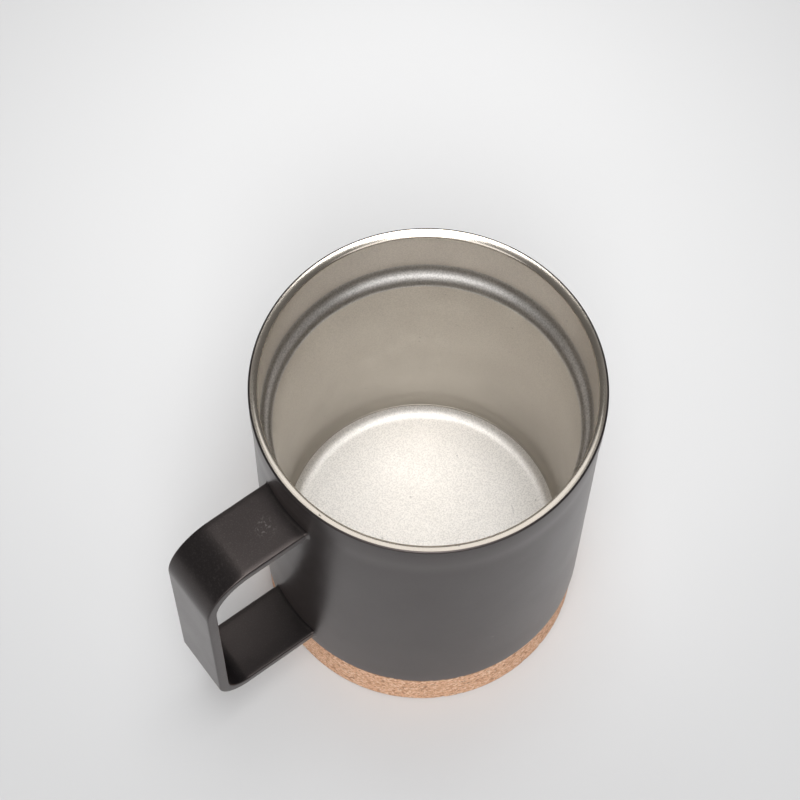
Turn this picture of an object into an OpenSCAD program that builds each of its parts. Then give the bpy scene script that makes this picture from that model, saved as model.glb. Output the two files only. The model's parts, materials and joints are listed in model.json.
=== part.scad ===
// Double-walled steel travel mug with a welded strap handle and a cork base.
// Frame: +Z up along the mug's axis, origin on the table under it, +X towards the handle. Millimetres.

/* [Cup] */
// Outside diameter of the coated shell
cup_d = 84.4; // [84:0.1:92]
// Height from the table to the rim
cup_h = 108.2; // [106:0.2:125]
// Thickness of the steel sheet
sheet = 0.5; // [0.45:0.05:0.55]
// How far the shell flares out at its rim
flare = 0.3; // [0.1:0.05:0.5]
// Height over which it flares
flare_h = 10.6; // [6:0.2:12]
// Radius of the shell's rim edge
rim_r = 0.45; // [0.2:0.05:0.45]
// Radius of the shell's turned-in foot
foot_r = 1.2; // [0.8:0.1:1.6]

/* [Lip, collar and shoulder] */
// Bore of the collar that a push-in lid seals against
collar_d = 80.4; // [78:0.1:80.8]
// Slope of the polished lip in degrees where it leaves the rim
lip_slope = 12; // [8:1:16]
// Slope of the lip where it starts to turn down
lip_fall = 38; // [30:1:50]
// Radius where the lip turns down into the collar
lip_r = 0.6; // [0.6:0.05:0.8]
// Height of the middle of the shoulder
shoulder_z = 90.5; // [70:0.5:92]
// Steepest lean of the shoulder from upright in degrees
shoulder_lean = 45; // [35:1:55]

/* [Inside] */
// Bore of the wall below the shoulder
wall_d = 75; // [74:0.5:76.5]
// Height of the inside floor
floor_z = 17.9; // [17.1:0.1:19.5]
// Height of the seam between wall and floor above that floor
seam_rise = 2.2; // [2:0.1:3]
// Lean of the wall at that seam in degrees
tuck_lean = 25; // [15:1:35]
// Radius of the wall's tuck above the seam
tuck_r = 11; // [8:0.5:12]
// How far the seam's bead stands out of the sheet
bead_proud = 0.1; // [0.05:0.05:0.2]

/* [Closed bottom] */
// Outside diameter of the pan that closes the shell
pan_d = 73.2; // [70:0.2:74]
// Height of that pan's underside
pan_z = 5; // [4.5:0.1:7]
// Corner radius of that pan
pan_r = 3; // [2:0.5:4]
// Diameter of the dimple round the pumping hole
dimple_d = 10; // [8:0.5:14]
// Depth of the dimple
dimple_h = 2.2; // [1.8:0.1:3]
// Diameter of the pumping hole
port_d = 2; // [1:0.2:3]

/* [Getter] */
// Diameter of the getter pellet
getter_d = 9; // [6:0.5:12]
// Thickness of the pellet
getter_h = 2.4; // [2:0.1:4]
// Distance of the pellet from the mug's axis
getter_x = 20; // [15:1:25]

/* [Cork base] */
// Diameter of the cork
cork_d = 83.4; // [82.6:0.1:84]
// Height of the cork
cork_h = 15.9; // [15:0.1:16.2]
// Radius of the cork's lower edge
cork_r = 1; // [0.5:0.1:2]
// Thickness of the adhesive under the pan
tape_t = 0.8; // [0.4:0.1:1.2]

/* [Handle] */
// Width of the strap
strap_w = 16.7; // [14:0.1:20]
// Thickness of the strap
strap_t = 2.8; // [2:0.1:3.2]
// Radius of the strap's long edges
strap_edge = 0.45; // [0.2:0.05:0.8]
// Height of the upper arm's top face
arm_top_z = 92.6; // [88:0.1:93]
// Height of the lower arm's top face
arm_low_z = 24.5; // [24:0.1:40]
// Distance from the mug's axis to the grip's outer face
handle_reach = 71.1; // [66:0.1:76]
// Outside radius of the upper bend
bend_top_r = 13; // [8:0.5:16]
// Outside radius of the lower bend
bend_low_r = 8.8; // [5:0.1:11]
// Leg of the weld beads at the strap's ends
weld_leg = 0.8; // [0.5:0.1:1.2]

/* [Hidden] */
$fn = 96;
cup_r = cup_d / 2;
rim_out = cup_r + flare;
shell_in = rim_out - sheet;
collar_r = collar_d / 2;
wall_r = wall_d / 2;
pan_out = pan_d / 2;
seam_z = floor_z + seam_rise;

// The shell's flare is two equal arcs that meet halfway, and it ends at flare_top.
flare_top = cup_h - 4;
flare_turn = 2 * atan(flare / flare_h);
flare_r = flare_h / 2 / sin(flare_turn);

// The rim weld is a narrow ring that already has the lip's first slope.
rim_weld_w = 0.3;
weld_in = shell_in - rim_weld_w;
lip_top_z = cup_h - rim_weld_w * tan(lip_slope);

// The lip is a shallow crown that ends in a small radius down into the collar.
crown_r = (weld_in - collar_r - lip_r * (1 - sin(lip_fall))) / (sin(lip_fall) - sin(lip_slope));
crown_x = weld_in + crown_r * sin(lip_slope);
crown_z = lip_top_z - crown_r * cos(lip_slope);
lip_z = crown_z + (crown_r - lip_r) * cos(lip_fall);

// The shoulder is two equal arcs that meet at its middle.
shoulder_r = (collar_r - wall_r) / 2 / (1 - cos(shoulder_lean));
shoulder_half = shoulder_r * sin(shoulder_lean);

// The floor's corner carries on from the wall's tuck at the same lean.
floor_r = seam_rise / (1 - sin(tuck_lean));
seam_r = wall_r - tuck_r * (1 - cos(tuck_lean));
floor_flat = seam_r - floor_r * cos(tuck_lean);

// Leg of the seam between the shell's foot and the pan that closes it.
base_leg = 0.6;

// Sheet of the getter's clip.
clip_t = 0.3;

// How far a solid that cuts, or is cut, runs past the face it meets.
spare = 1;

// Centre lines of the strap: arm, bend, grip, bend, arm.
arm_start = 38;
strap_mid = strap_t / 2;
turn_top = bend_top_r - strap_mid;
turn_low = bend_low_r - strap_mid;
upper_len = handle_reach - bend_top_r - arm_start;
grip_len = arm_top_z - bend_top_r - (arm_low_z - strap_t + bend_low_r);
lower_len = handle_reach - bend_low_r - arm_start;

// Points along an arc from angle a0 to angle a1.
function arc(cx, cz, r, a0, a1, n = 10) =
    [for (i = [0:n]) let (a = a0 + (a1 - a0) * i / n) [cx + r * cos(a), cz + r * sin(a)]];

function backwards(points) = [for (i = [len(points) - 1:-1:0]) points[i]];

// One face of the shell's side from the flare's foot to its top, at depth t in the sheet.
function shell_side(t) = concat(
    arc(cup_r + flare_r, flare_top - flare_h, flare_r + t, 180, 180 - flare_turn, 6),
    arc(rim_out - flare_r, flare_top, flare_r - t, -flare_turn, 0, 6));

// One face of the liner from the lip down to the seam, at depth t in the sheet.
function liner_face(t) = concat(
    arc(crown_x, crown_z, crown_r - t, 90 + lip_slope, 90 + lip_fall, 6),
    arc(collar_r + lip_r, lip_z, lip_r - t, 90 + lip_fall, 180),
    arc(collar_r - shoulder_r, shoulder_z + shoulder_half, shoulder_r + t, 0, -shoulder_lean),
    arc(wall_r + shoulder_r, shoulder_z - shoulder_half, shoulder_r - t, 180 - shoulder_lean, 180),
    arc(wall_r - tuck_r, seam_z + tuck_r * sin(tuck_lean), tuck_r + t, 0, -tuck_lean));

// One face of the cup's floor pan from the seam to the axis, at depth t in the sheet.
function floor_face(t) = concat(
    arc(floor_flat, floor_z + floor_r, floor_r + t, -tuck_lean, -90),
    [[0, floor_z - t]]);

// The seam's bead, round in section and centred in the sheet.
module seam_section() {
    translate([seam_r + sheet / 2 * cos(tuck_lean), seam_z - sheet / 2 * sin(tuck_lean)])
        circle(r = sheet / 2 + bead_proud, $fn = 32);
}

module lathe() {
    rotate_extrude($fn = 180) children();
}

module outer_shell() {
    foot_z = cork_h + foot_r;
    color("#2b2a2b") lathe() polygon(concat(
        [[pan_out, cork_h]],
        arc(cup_r - foot_r, foot_z, foot_r, -90, 0),
        shell_side(0),
        arc(rim_out - rim_r, cup_h - rim_r, rim_r, 0, 90),
        [[shell_in, cup_h]],
        backwards(shell_side(sheet)),
        arc(cup_r - foot_r, foot_z, foot_r - sheet, 0, -90),
        [[pan_out, cork_h + sheet]]));
}

module outer_bottom() {
    wall_top = cork_h + sheet + base_leg;
    dimple_r = dimple_d / 2;
    color("#b5b3ae") lathe() {
        polygon(concat(
            [[dimple_r, pan_z]],
            arc(pan_out - pan_r, pan_z + pan_r, pan_r, -90, 0),
            [[pan_out, wall_top], [pan_out - sheet, wall_top]],
            arc(pan_out - pan_r, pan_z + pan_r, pan_r - sheet, 0, -90),
            [[dimple_r, pan_z + sheet]]));
        translate([dimple_r, pan_z]) square([sheet, dimple_h + sheet]);
        translate([port_d / 2, pan_z + dimple_h]) square([dimple_r + sheet - port_d / 2, sheet]);
    }
}

module base_weld() {
    corner = cork_h + sheet;
    color("#8f8c88") lathe()
        polygon([[pan_out, corner], [pan_out + base_leg, corner], [pan_out, corner + base_leg]]);
}

module inner_liner() {
    color("#b9b4aa") lathe() difference() {
        polygon(concat(liner_face(0), backwards(liner_face(sheet))));
        seam_section();
    }
}

module inner_bottom() {
    color("#cfcac2") lathe() difference() {
        polygon(concat(floor_face(0), backwards(floor_face(sheet))));
        seam_section();
    }
}

module floor_weld() {
    color("#a39e95") lathe() seam_section();
}

module rim_weld() {
    low_z = lip_top_z - sheet * cos(lip_slope);
    color("#d8d6d2") lathe() polygon([
        [weld_in + sheet * sin(lip_slope), low_z],
        [shell_in, low_z],
        [shell_in, cup_h],
        [weld_in, lip_top_z]]);
}

module seal_bead() {
    side_gap = 1.6;
    end_gap = 0.8;
    bead_r = dimple_d / 2 - side_gap;
    bead_h = dimple_h - end_gap;
    port_z = pan_z + dimple_h;
    ball_r = (bead_r * bead_r + bead_h * bead_h) / 2 / bead_h;
    color("#5d6b62") union() {
        translate([0, 0, port_z]) cylinder(h = sheet, r = port_d / 2);
        intersection() {
            translate([0, 0, port_z - bead_h + ball_r]) sphere(r = ball_r);
            translate([0, 0, port_z - bead_h]) cylinder(h = bead_h, r = bead_r + spare);
        }
    }
}

module getter_pellet() {
    color("#77746f")
        translate([getter_x, 0, pan_z + sheet + clip_t]) cylinder(h = getter_h, d = getter_d);
}

module getter_clip() {
    ear_l = 4;
    ear_w = 3;
    turned_in = 0.6;
    color("#c4c2bd") translate([getter_x, 0, pan_z + sheet]) {
        difference() {
            union() {
                cylinder(h = getter_h + 2 * clip_t, d = getter_d + 2 * clip_t);
                for (side = [-1, 1])
                    translate([-ear_w / 2, side * (getter_d / 2 + ear_l / 2) - ear_l / 2, 0])
                        cube([ear_w, ear_l, clip_t]);
            }
            translate([0, 0, clip_t]) cylinder(h = getter_h, d = getter_d);
            translate([0, 0, clip_t]) cylinder(h = getter_h + spare, r = getter_d / 2 - turned_in);
        }
    }
}

module cork_base() {
    recess_gap = 0.15;
    recess_r = pan_out + recess_gap;
    recess_z = pan_z - tape_t;
    top_r = 0.3;
    color("#c08a5c") lathe() polygon(concat(
        [[0, 0]],
        arc(cork_d / 2 - cork_r, cork_r, cork_r, -90, 0),
        arc(cork_d / 2 - top_r, cork_h - top_r, top_r, 0, 90, 4),
        [[recess_r, cork_h], [recess_r, recess_z], [0, recess_z]]));
}

module adhesive_disc() {
    tape_gap = 1;
    tape_in = dimple_d / 2 + tape_gap;
    color("#e4ddc8") lathe()
        translate([tape_in, pan_z - tape_t]) square([pan_out - pan_r - tape_in, tape_t]);
}

// The strap in section: x through its thickness, y across its width.
module strap_section() {
    square([strap_t - 2 * strap_edge, strap_w], center = true);
    square([strap_t, strap_w - 2 * strap_edge], center = true);
    for (x = [-1, 1], y = [-1, 1])
        translate([x * (strap_mid - strap_edge), y * (strap_w / 2 - strap_edge)])
            circle(r = strap_edge, $fn = 32);
}

// A straight length of strap along +Z, with what follows it at its end.
module straight(length) {
    linear_extrude(height = length) strap_section();
    translate([0, 0, length]) children();
}

// A right-angled bend from +Z towards -X on centre-line radius r, with what follows it at its end.
module bend(r) {
    translate([-r, 0, 0]) {
        rotate([90, 0, 0]) rotate_extrude(angle = 90) translate([r, 0]) strap_section();
        rotate([0, -90, 0]) translate([r, 0, 0]) children();
    }
}

// The whole strap before its ends are cut to the wall.
module strap() {
    translate([arm_start, 0, arm_top_z - strap_mid]) rotate([0, 90, 0]) rotate([0, 0, 180])
        straight(upper_len) bend(turn_top)
        straight(grip_len) bend(turn_low)
        straight(lower_len);
}

module cup_outside() {
    cylinder(h = cup_h, r = cup_r, $fn = 720);
}

module handle_strap() {
    color("#262526") difference() {
        strap();
        cup_outside();
    }
}

// A weld bead round the end of an arm whose top face is at height z. It laps into the strap and
// the wall before both are cut away from it.
module arm_weld(z) {
    lap = 0.1;
    wall_lap = 0.2;
    side_x = cup_r - 3;
    half_w = strap_w / 2;
    half_turn = asin(half_w / cup_r);
    low = z - strap_t;
    color("#262526") difference() {
        union() {
            rotate([0, 0, -half_turn]) rotate_extrude(angle = 2 * half_turn, $fn = 720) {
                polygon([[cup_r - wall_lap, z - lap], [cup_r + weld_leg, z - lap], [cup_r, z + weld_leg],
                    [cup_r - wall_lap, z + weld_leg]]);
                polygon([[cup_r - wall_lap, low + lap], [cup_r + weld_leg, low + lap],
                    [cup_r, low - weld_leg], [cup_r - wall_lap, low - weld_leg]]);
            }
            for (side = [0, 1]) mirror([0, side, 0])
                translate([0, 0, low]) linear_extrude(height = strap_t)
                    polygon([[side_x, half_w - lap], [cup_r - lap, half_w - lap],
                        [sqrt(cup_r * cup_r - half_w * half_w) - wall_lap, half_w + weld_leg],
                        [side_x, half_w + weld_leg]]);
        }
        strap();
        cup_outside();
    }
}

module upper_handle_weld() {
    arm_weld(arm_top_z);
}

module lower_handle_weld() {
    arm_weld(arm_low_z);
}

outer_shell();
outer_bottom();
base_weld();
inner_liner();
inner_bottom();
floor_weld();
rim_weld();
seal_bead();
getter_pellet();
getter_clip();
handle_strap();
upper_handle_weld();
lower_handle_weld();
cork_base();
adhesive_disc();
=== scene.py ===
# %% [markdown]
# # A steel travel mug with a strap handle and a cork base
#
# The real mug is two cups of thin stainless sheet, one inside the other, joined only at the rim with the
# air pumped out between them. The outer cup is coated black, the inner one is bare steel, a bent steel
# strap is welded on as the handle, and a turned block of cork is taped under the closed bottom.
#
# This script is a lesson in making such a mug look real. The sizes are fixed before it starts: it loads
# the finished engineering model, and builds every surface that shows as a finer mesh in the same place.
# Nearly everything here is round, so one helper that turns an outline round an axis does most of the
# work, and the rest of the lesson is about metal, coating and cork.

# %% Load the engineering model
import json
import math
import bmesh
import bpy
from mathutils import Matrix, Vector, noise


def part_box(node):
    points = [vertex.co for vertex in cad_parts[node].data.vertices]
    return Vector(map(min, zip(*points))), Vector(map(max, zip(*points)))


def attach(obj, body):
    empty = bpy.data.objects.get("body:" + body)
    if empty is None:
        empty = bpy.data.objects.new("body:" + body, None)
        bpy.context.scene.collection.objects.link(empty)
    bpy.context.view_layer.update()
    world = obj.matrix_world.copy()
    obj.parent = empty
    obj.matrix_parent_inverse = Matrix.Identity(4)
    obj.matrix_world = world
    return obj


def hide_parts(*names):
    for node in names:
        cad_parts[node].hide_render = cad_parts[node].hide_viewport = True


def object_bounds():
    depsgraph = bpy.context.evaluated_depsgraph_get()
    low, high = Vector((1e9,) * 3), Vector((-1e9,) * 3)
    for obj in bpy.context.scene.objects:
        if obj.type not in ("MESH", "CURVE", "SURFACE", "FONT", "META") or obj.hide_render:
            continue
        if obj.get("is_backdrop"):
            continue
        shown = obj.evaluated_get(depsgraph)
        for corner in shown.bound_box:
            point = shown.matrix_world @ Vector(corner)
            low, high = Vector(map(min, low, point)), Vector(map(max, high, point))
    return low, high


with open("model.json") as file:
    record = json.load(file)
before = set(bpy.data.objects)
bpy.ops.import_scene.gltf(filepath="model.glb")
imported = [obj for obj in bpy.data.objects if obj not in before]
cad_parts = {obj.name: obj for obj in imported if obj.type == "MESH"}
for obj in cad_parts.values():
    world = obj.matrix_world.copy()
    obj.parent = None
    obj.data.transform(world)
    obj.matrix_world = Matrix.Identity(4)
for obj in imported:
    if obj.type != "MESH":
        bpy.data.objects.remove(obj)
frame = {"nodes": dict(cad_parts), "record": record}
cad_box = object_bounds()
print("pieces in the engineering model:", len(frame["nodes"]))

# %% [markdown]
# ## Sizes
#
# A model that is built twice has to agree with itself. The outside sizes are therefore read from the
# loaded pieces, and only what a box can't tell, such as a sheet's thickness or a bend's radius, is
# written down here. Blender works in metres, so every length in millimetres is multiplied by `mm`.

# %% Sizes of the cup
mm = 0.001
shell_low, shell_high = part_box("outer_shell")
rim_out = shell_high.x
flare = 0.3 * mm
cup_r = rim_out - flare
rim_z = shell_high.z
foot_z = shell_low.z
cork_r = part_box("cork_base")[1].x
mouth = next(mount for mount in frame["record"]["mounts"] if mount["name"] == "mouth")
collar_r = mouth["dims"]["r_mm"] * mm
sheet = 0.5 * mm
print("mug:", round(2 * cup_r / mm, 2), "mm across and", round(rim_z / mm, 2), "mm high")
print("collar for the lid:", round(2 * collar_r / mm, 2), "mm")

# %% Sizes of the handle
strap_low, strap_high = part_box("handle_strap")
strap_w = 2 * strap_high.y
arm_top_z = strap_high.z
strap_t = 2.8 * mm
arm_low_z = strap_low.z + strap_t
grip_reach = strap_high.x
bend_top_r = 13 * mm
bend_low_r = 8.8 * mm
print("strap:", round(strap_w / mm, 2), "mm wide and", round(strap_t / mm, 2), "mm thick")

# %% [markdown]
# ## The camera
#
# The mug is seen from above and from one side, over its handle, the way a cup stands in front of a
# person who looks down into it. A long lens keeps the mouth's ellipse calm. A camera looks along its own
# -Z, so its turn is built from three plain ones: round the upright axis, down from the horizon, and a
# small roll of the camera in the hand.

# %% Place the camera
camera_side = math.radians(50.52)
camera_reach = 0.23722
camera_height = 0.59860
camera_heading = math.radians(-127.88)
camera_down = math.radians(64.58)
camera_roll = math.radians(1.234)

camera_data = bpy.data.cameras.new("camera")
camera_data.lens = 104.354
camera_data.sensor_width = 36
camera = bpy.data.objects.new("camera", camera_data)
bpy.context.scene.collection.objects.link(camera)
bpy.context.scene.camera = camera
camera_place = Vector((
    camera_reach * math.cos(camera_side),
    camera_reach * math.sin(camera_side),
    camera_height,
))
camera.matrix_world = (
    Matrix.Translation(camera_place)
    @ Matrix.Rotation(camera_heading - math.pi / 2, 4, "Z")
    @ Matrix.Rotation(math.pi / 2 - camera_down, 4, "X")
    @ Matrix.Rotation(camera_roll, 4, "Z")
)
print("camera is", round((camera_place - Vector((0, 0, rim_z))).length, 3), "m from the rim")

# %% [markdown]
# ## Helpers for materials
#
# A material is a little network of nodes. Three helpers keep the networks readable: one adds a node and
# plugs its inputs in the same breath, one starts a material with its Principled shader, and one starts a
# node group, which is a network with named sockets that many materials can share.


# %% Add a node, start a material, start a group
def place(tree, kind, inputs=None, **settings):
    """Adds a node to a network. Each input is a plain value or the socket that feeds it."""
    node = tree.nodes.new("ShaderNode" + kind)
    for name, value in settings.items():
        setattr(node, name, value)
    for name, value in (inputs or {}).items():
        if isinstance(value, bpy.types.NodeSocket):
            tree.links.new(value, node.inputs[name])
        else:
            node.inputs[name].default_value = value
    return node


def start_material(name):
    """A new material: its network, its Principled shader and the place of each point on the piece."""
    material = bpy.data.materials.new(name)
    material.use_nodes = True
    tree = material.node_tree
    shader = tree.nodes["Principled BSDF"]
    where = place(tree, "TexCoord").outputs["Object"]
    return material, tree, shader, where


def start_group(name, inputs, outputs):
    """A new node group: the group, the node that its inputs come in by, and the one its outputs leave by."""
    group = bpy.data.node_groups.new(name, "ShaderNodeTree")
    for label, kind, value in inputs:
        socket = group.interface.new_socket(label, in_out="INPUT", socket_type="NodeSocket" + kind)
        if value is not None:
            socket.default_value = value
    for label, kind in outputs:
        group.interface.new_socket(label, in_out="OUTPUT", socket_type="NodeSocket" + kind)
    return group, group.nodes.new("NodeGroupInput"), group.nodes.new("NodeGroupOutput")


def use(tree, group, **inputs):
    """Places a node group in a material. Input names are written with _ for a space."""
    node = place(tree, "Group", node_tree=group)
    for name, value in inputs.items():
        socket = node.inputs[name.replace("_", " ")]
        if isinstance(value, bpy.types.NodeSocket):
            tree.links.new(value, socket)
        else:
            socket.default_value = value
    return node.outputs


def calculate(tree, operation, *values, clamp=False):
    """One step of arithmetic on values or sockets."""
    return place(tree, "Math", dict(enumerate(values)), operation=operation, use_clamp=clamp).outputs[0]


def ramp(tree, value, low, high, start=0.0, end=1.0):
    """Turns a value between low and high smoothly into one between start and end."""
    inputs = {"Value": value, "From Min": low, "From Max": high, "To Min": start, "To Max": end}
    return place(tree, "MapRange", inputs, interpolation_type="SMOOTHSTEP").outputs["Result"]


def blend(tree, share, first, second):
    """Mixes two colours: the first where share is 0, the second where it is 1."""
    node = place(tree, "Mix", data_type="RGBA", clamp_factor=True)
    for index, value in ((0, share), (6, first), (7, second)):
        if isinstance(value, bpy.types.NodeSocket):
            tree.links.new(value, node.inputs[index])
        else:
            node.inputs[index].default_value = value if index == 0 else (*value, 1)
    return node.outputs[2]


def stain(tree, colour, mask, strength, tone):
    """Lays a tone over a colour where a mask is, at part of its strength."""
    return blend(tree, calculate(tree, "MULTIPLY", mask, strength), colour, tone)


def raise_surface(tree, height, depth, under=None):
    """A normal bent by a height from 0 to 1 that stands for a depth in metres."""
    inputs = {"Height": height, "Distance": depth, "Strength": 1.0}
    if under is not None:
        inputs["Normal"] = under
    return place(tree, "Bump", inputs).outputs["Normal"]


# %% [markdown]
# ## Shared effects
#
# The same few things happen to many surfaces: a fine grain left by spraying, blasting or sanding, soft
# clouding, dust, hair-fine scratches, worn edges, and the rings that a polishing wheel leaves on turned
# sheet. Each one is made once as a node group with its sizes as inputs, in metres, so that the same
# group gives a coarse blasted floor in one place and a smooth satin wall in another.

# %% Grain: fine relief and soft clouding
grain, grain_in, grain_out = start_group(
    "Grain",
    [("Vector", "Vector", None), ("Grain size", "Float", 0.0003), ("Cloud size", "Float", 0.02)],
    [("Height", "Float"), ("Cloud", "Float")],
)
fine = place(grain, "TexNoise", {
    "Vector": grain_in.outputs["Vector"],
    "Scale": calculate(grain, "DIVIDE", 1.0, grain_in.outputs["Grain size"]),
    "Detail": 3.0,
    "Roughness": 0.6,
})
cloud = place(grain, "TexNoise", {
    "Vector": grain_in.outputs["Vector"],
    "Scale": calculate(grain, "DIVIDE", 1.0, grain_in.outputs["Cloud size"]),
    "Detail": 4.0,
    "Roughness": 0.55,
})
grain.links.new(fine.outputs["Fac"], grain_out.inputs["Height"])
grain.links.new(cloud.outputs["Fac"], grain_out.inputs["Cloud"])
print("group:", grain.name)

# %% Specks: grains of dust or small pits, here and there
specks, specks_in, specks_out = start_group(
    "Specks",
    [("Vector", "Vector", None), ("Spacing", "Float", 0.004), ("Size", "Float", 0.0003),
     ("Share", "Float", 0.3)],
    [("Mask", "Float")],
)
cells = place(specks, "TexVoronoi", {
    "Vector": specks_in.outputs["Vector"],
    "Scale": calculate(specks, "DIVIDE", 1.0, specks_in.outputs["Spacing"]),
})
speck_reach = calculate(specks, "DIVIDE", specks_in.outputs["Size"], specks_in.outputs["Spacing"])
speck_core = calculate(specks, "MULTIPLY", speck_reach, 0.5)
speck_body = ramp(specks, cells.outputs["Distance"], speck_core, speck_reach, 1.0, 0.0)
speck_luck = place(specks, "SeparateColor", {"Color": cells.outputs["Color"]}).outputs["Red"]
chosen = calculate(specks, "LESS_THAN", speck_luck, specks_in.outputs["Share"])
specks.links.new(calculate(specks, "MULTIPLY", speck_body, chosen), specks_out.inputs["Mask"])
print("group:", specks.name)

# %% [markdown]
# A scratch is a speck that has been pulled long. The group stretches space along two slanted directions
# and looks for specks there, so each speck comes out as a thin spindle with tapered ends.

# %% Scratches: two sets of thin spindles
scratches, scratches_in, scratches_out = start_group(
    "Scratches",
    [("Vector", "Vector", None), ("Length", "Float", 0.02), ("Width", "Float", 0.0015),
     ("Share", "Float", 0.4)],
    [("Mask", "Float")],
)
scratch_sets = []
for slant, tilt in ((35, 20), (-50, -35)):
    turned_space = place(scratches, "VectorRotate", {
        "Vector": scratches_in.outputs["Vector"],
        "Rotation": (math.radians(tilt), math.radians(slant), math.radians(slant)),
    }, rotation_type="EULER_XYZ")
    per_length = calculate(scratches, "DIVIDE", 1.0, scratches_in.outputs["Length"])
    per_width = calculate(scratches, "DIVIDE", 1.0, scratches_in.outputs["Width"])
    stretch = place(scratches, "CombineXYZ", {"X": per_length, "Y": per_width, "Z": per_width})
    both_spaces = {0: turned_space.outputs[0], 1: stretch.outputs[0]}
    stretched = place(scratches, "VectorMath", both_spaces, operation="MULTIPLY")
    spindles = place(scratches, "TexVoronoi", {"Vector": stretched.outputs[0], "Scale": 1.0})
    body = ramp(scratches, spindles.outputs["Distance"], 0.03, 0.12, 1.0, 0.0)
    pick = place(scratches, "SeparateColor", {"Color": spindles.outputs["Color"]}).outputs["Green"]
    picked = calculate(scratches, "LESS_THAN", pick, scratches_in.outputs["Share"])
    scratch_sets.append(calculate(scratches, "MULTIPLY", body, picked))
scratches.links.new(calculate(scratches, "MAXIMUM", *scratch_sets), scratches_out.inputs["Mask"])
print("group:", scratches.name)

# %% [markdown]
# Wear follows shape: hands, tables and dishcloths touch the edges first. The shell and the strap carry a
# value named `edge` at their corners, 1 on an exposed edge and 0 on a plain face. The group breaks that
# smooth value up with noise, because real wear is patchy.

# %% Edge wear: the exposed edges, broken up
edge_wear, wear_in, wear_out = start_group(
    "Edge wear",
    [("Vector", "Vector", None), ("Edge", "Float", 0.0), ("Patch size", "Float", 0.002),
     ("Amount", "Float", 0.5)],
    [("Mask", "Float")],
)
patches = place(edge_wear, "TexNoise", {
    "Vector": wear_in.outputs["Vector"],
    "Scale": calculate(edge_wear, "DIVIDE", 1.0, wear_in.outputs["Patch size"]),
    "Detail": 5.0,
    "Roughness": 0.65,
})
worn_level = calculate(edge_wear, "MULTIPLY", wear_in.outputs["Edge"], patches.outputs["Fac"])
worn_from = calculate(edge_wear, "SUBTRACT", 1.0, wear_in.outputs["Amount"])
worn_to = calculate(edge_wear, "ADD", worn_from, 0.08)
edge_wear.links.new(ramp(edge_wear, worn_level, worn_from, worn_to), wear_out.inputs["Mask"])
print("group:", edge_wear.name)

# %% [markdown]
# Turned and polished sheet has rings that follow the tool. On this mug every inside surface runs inwards
# as it runs down, so radius plus height grows steadily along all of them, and fine noise on that one
# number gives rings on the lip, the wall and the floor alike.

# %% Turning lines: rings round the mug's axis
turning, turning_in, turning_out = start_group(
    "Turning lines",
    [("Vector", "Vector", None), ("Pitch", "Float", 0.0002)],
    [("Height", "Float")],
)
apart = place(turning, "SeparateXYZ", {"Vector": turning_in.outputs["Vector"]})
flat = place(turning, "CombineXYZ", {"X": apart.outputs["X"], "Y": apart.outputs["Y"]})
radius = place(turning, "VectorMath", {0: flat.outputs[0]}, operation="LENGTH").outputs["Value"]
run = calculate(turning, "ADD", radius, apart.outputs["Z"])
along = calculate(turning, "DIVIDE", run, turning_in.outputs["Pitch"])
fade_scale = 18.0
ring_space = place(turning, "CombineXYZ", {
    "X": along,
    "Y": calculate(turning, "MULTIPLY", apart.outputs["X"], fade_scale),
    "Z": calculate(turning, "MULTIPLY", apart.outputs["Y"], fade_scale),
})
rings = place(turning, "TexNoise", {"Vector": ring_space.outputs[0], "Scale": 1.0, "Detail": 2.0})
turning.links.new(rings.outputs["Fac"], turning_out.inputs["Height"])
print("group:", turning.name)

# %% [markdown]
# ## The black coating
#
# The shell and the strap are sprayed with a satin black coating and baked. It is a warm black, not a
# flat one: light grazing it turns it a brownish grey, because any smooth skin reflects more at a shallow
# angle. A low base colour, a medium roughness, a warm tint on the reflection and a trace of sheen do
# that. The rest is small things: a fine grain from the spray with painted glints on its peaks, faint
# clouds where it was handled, dust, scuffs, and a few nicks at the edges. Shell and strap are coated
# alike, so one function makes both.


# %% Black coating
def knocks(tree, where, spots):
    """A mask for small clusters of marks. Each spot is (bearing in degrees, radius, height, reach)."""
    crumbs = place(tree, "TexNoise", {"Vector": where, "Scale": 1 / (0.6 * mm), "Detail": 3.0}).outputs["Fac"]
    crumbs = ramp(tree, crumbs, 0.55, 0.62)
    near_any = 0.0
    for bearing, radius, height, reach in spots:
        turn = math.radians(bearing)
        centre = (radius * math.cos(turn), radius * math.sin(turn), height)
        apart = place(tree, "VectorMath", {0: where, 1: centre}, operation="DISTANCE").outputs["Value"]
        near_any = calculate(tree, "MAXIMUM", near_any, ramp(tree, apart, 0.3 * reach, reach, 1.0, 0.0))
    return calculate(tree, "MULTIPLY", near_any, crumbs)


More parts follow.
